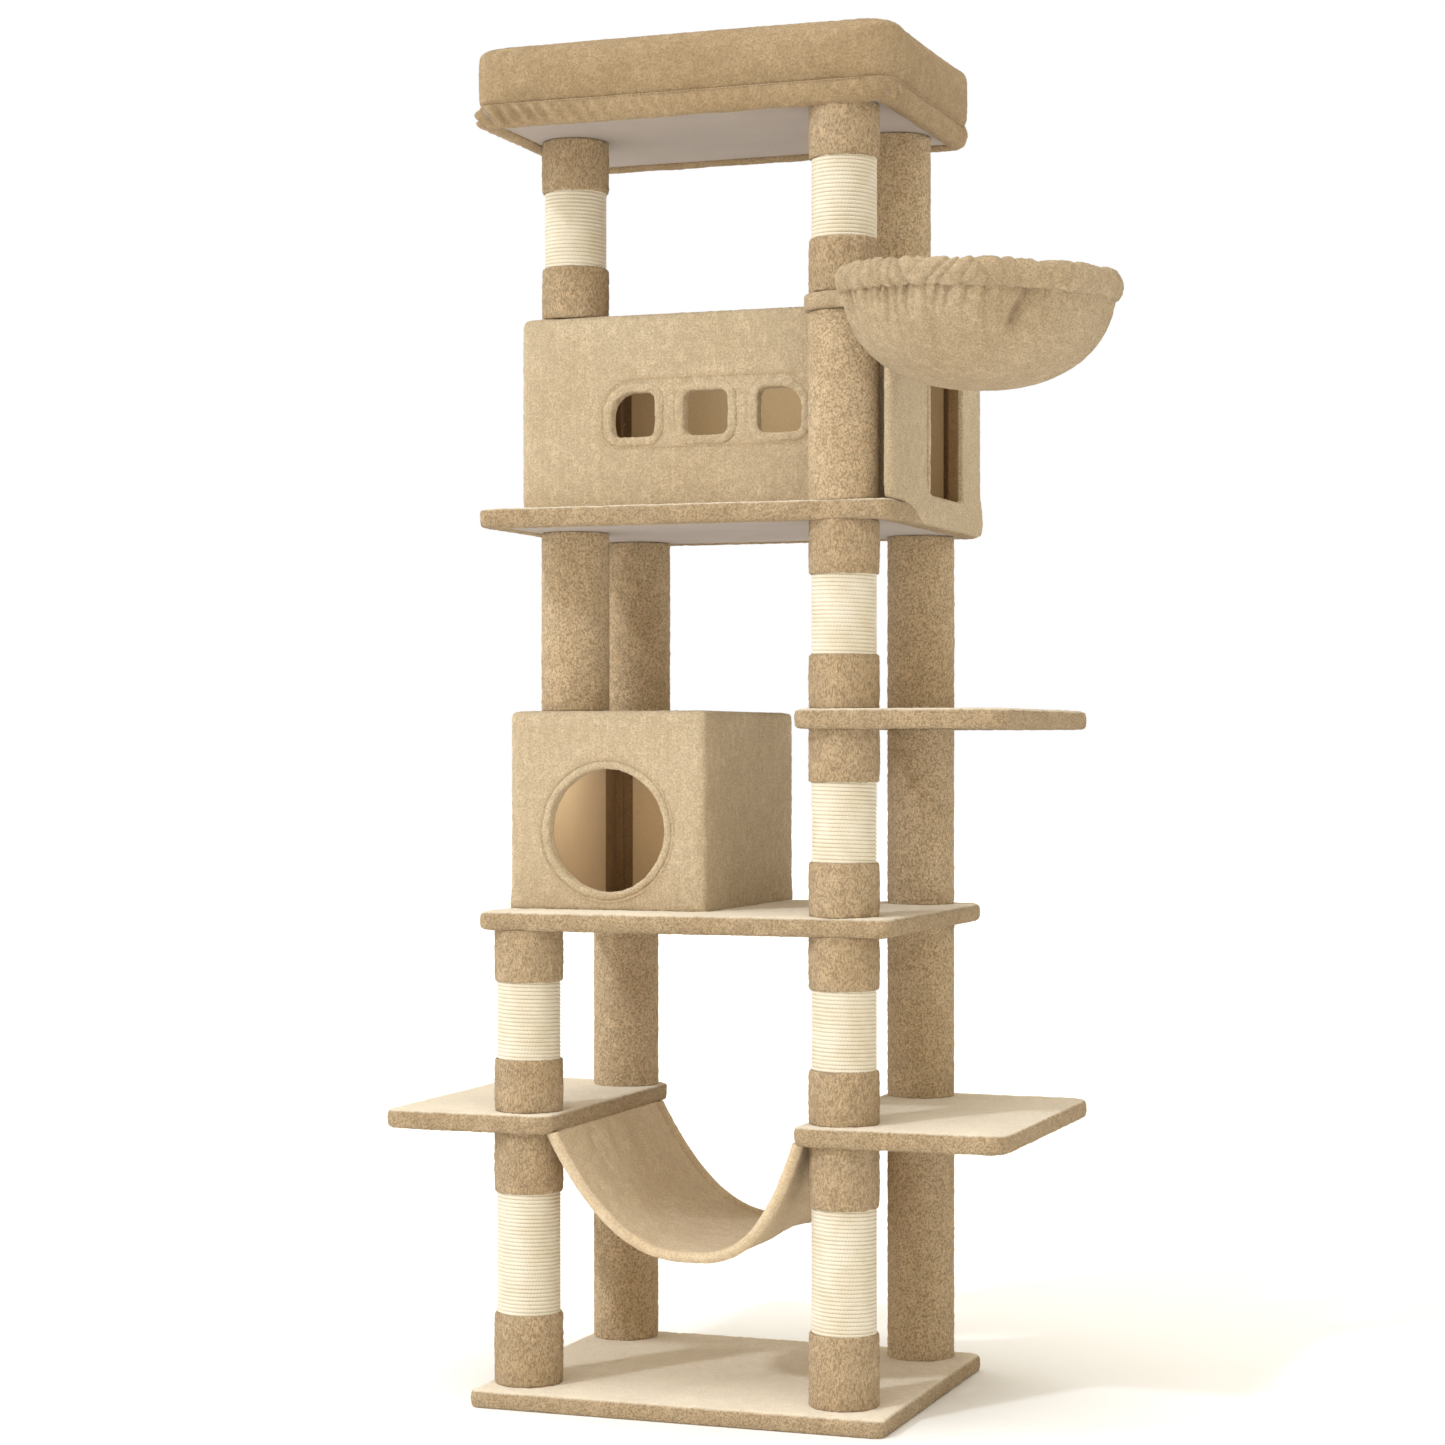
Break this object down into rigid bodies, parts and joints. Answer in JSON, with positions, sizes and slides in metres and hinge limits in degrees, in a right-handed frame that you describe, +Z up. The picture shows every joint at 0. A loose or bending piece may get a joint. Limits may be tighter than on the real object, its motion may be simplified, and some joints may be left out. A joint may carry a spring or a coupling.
{
  "type": "cat tree",
  "caption": "Tall plush cat tree with sisal posts, side ledges, a hammock, two houses, a step, a swivelling basket and a padded top perch.",
  "frame": {"origin": "centre of the base board's underside, on the floor", "axes": "+Z up, +X to the right seen from the front, +Y to the back"},
  "size_m": [1.0792, 0.7744, 1.881],
  "materials": {
    "plush": "short beige plush on boards and house walls",
    "post_plush": "beige plush sleeves on the posts",
    "collar_plush": "longer beige plush collars",
    "soft_plush": "beige plush cloth of the hammock and basket",
    "cushion_plush": "beige plush of the padded perch",
    "sisal": "natural twisted sisal rope, wound turn on turn",
    "board": "pressed board with a grey felt underside",
    "tube": "spiral-wound cardboard tube",
    "steel": "zinc-plated steel"
  },
  "bodies": {
    "frame": {"base_board": "board", "base_cover": "plush", "left_ledge_board": "board", "left_ledge_cover": "plush", "right_ledge_board": "board", "right_ledge_cover": "plush", "lower_floor_board": "board", "lower_floor_cover": "plush", "step_board": "board", "step_cover": "plush", "upper_floor_board": "board", "upper_floor_cover": "plush", "perch_board": "board", "perch_cover": "cushion_plush", "perch_bolster": "cushion_plush", "perch_mat": "cushion_plush", "rope_leg_left": "sisal", "rope_leg_right": "sisal", "rope_second_left": "sisal", "rope_second_right": "sisal", "rope_third": "sisal", "rope_fourth": "sisal", "rope_top_left": "sisal", "rope_top_right": "sisal", "sleeve_leg_left": "post_plush", "sleeve_leg_right": "post_plush", "sleeve_second_left": "post_plush", "sleeve_second_right": "post_plush", "sleeve_third": "post_plush", "sleeve_fourth_right": "post_plush", "sleeve_fourth_front": "post_plush", "sleeve_fourth_back": "post_plush", "sleeve_fifth": "post_plush", "sleeve_top": "post_plush", "collars_leg": "collar_plush", "collars_second": "collar_plush", "collars_third": "collar_plush", "collars_fourth": "collar_plush", "collars_top": "collar_plush", "post_tubes": "tube", "post_plugs": "board", "post_studs": "steel", "base_bolts": "steel", "base_washers": "steel", "roof_bolts": "steel", "lower_house_front": "plush", "lower_house_back": "plush", "lower_house_left": "plush", "lower_house_right": "plush", "lower_house_roof": "plush", "upper_house_front": "plush", "upper_house_back": "plush", "upper_house_left": "plush", "upper_house_right": "plush", "upper_house_roof": "plush", "hammock": "soft_plush", "hammock_battens": "board"},
    "basket": {"basket_plate": "soft_plush", "basket_hoop": "steel", "basket_bowl": "soft_plush"}
  },
  "joints": [
    {"name": "basket_swivel", "type": "hinge", "parent": "frame", "child": "basket", "pos_m": [0.221, -0.17, 1.512], "axis": [0, 0, 1], "range_deg": [-110, 50]}
  ]
}
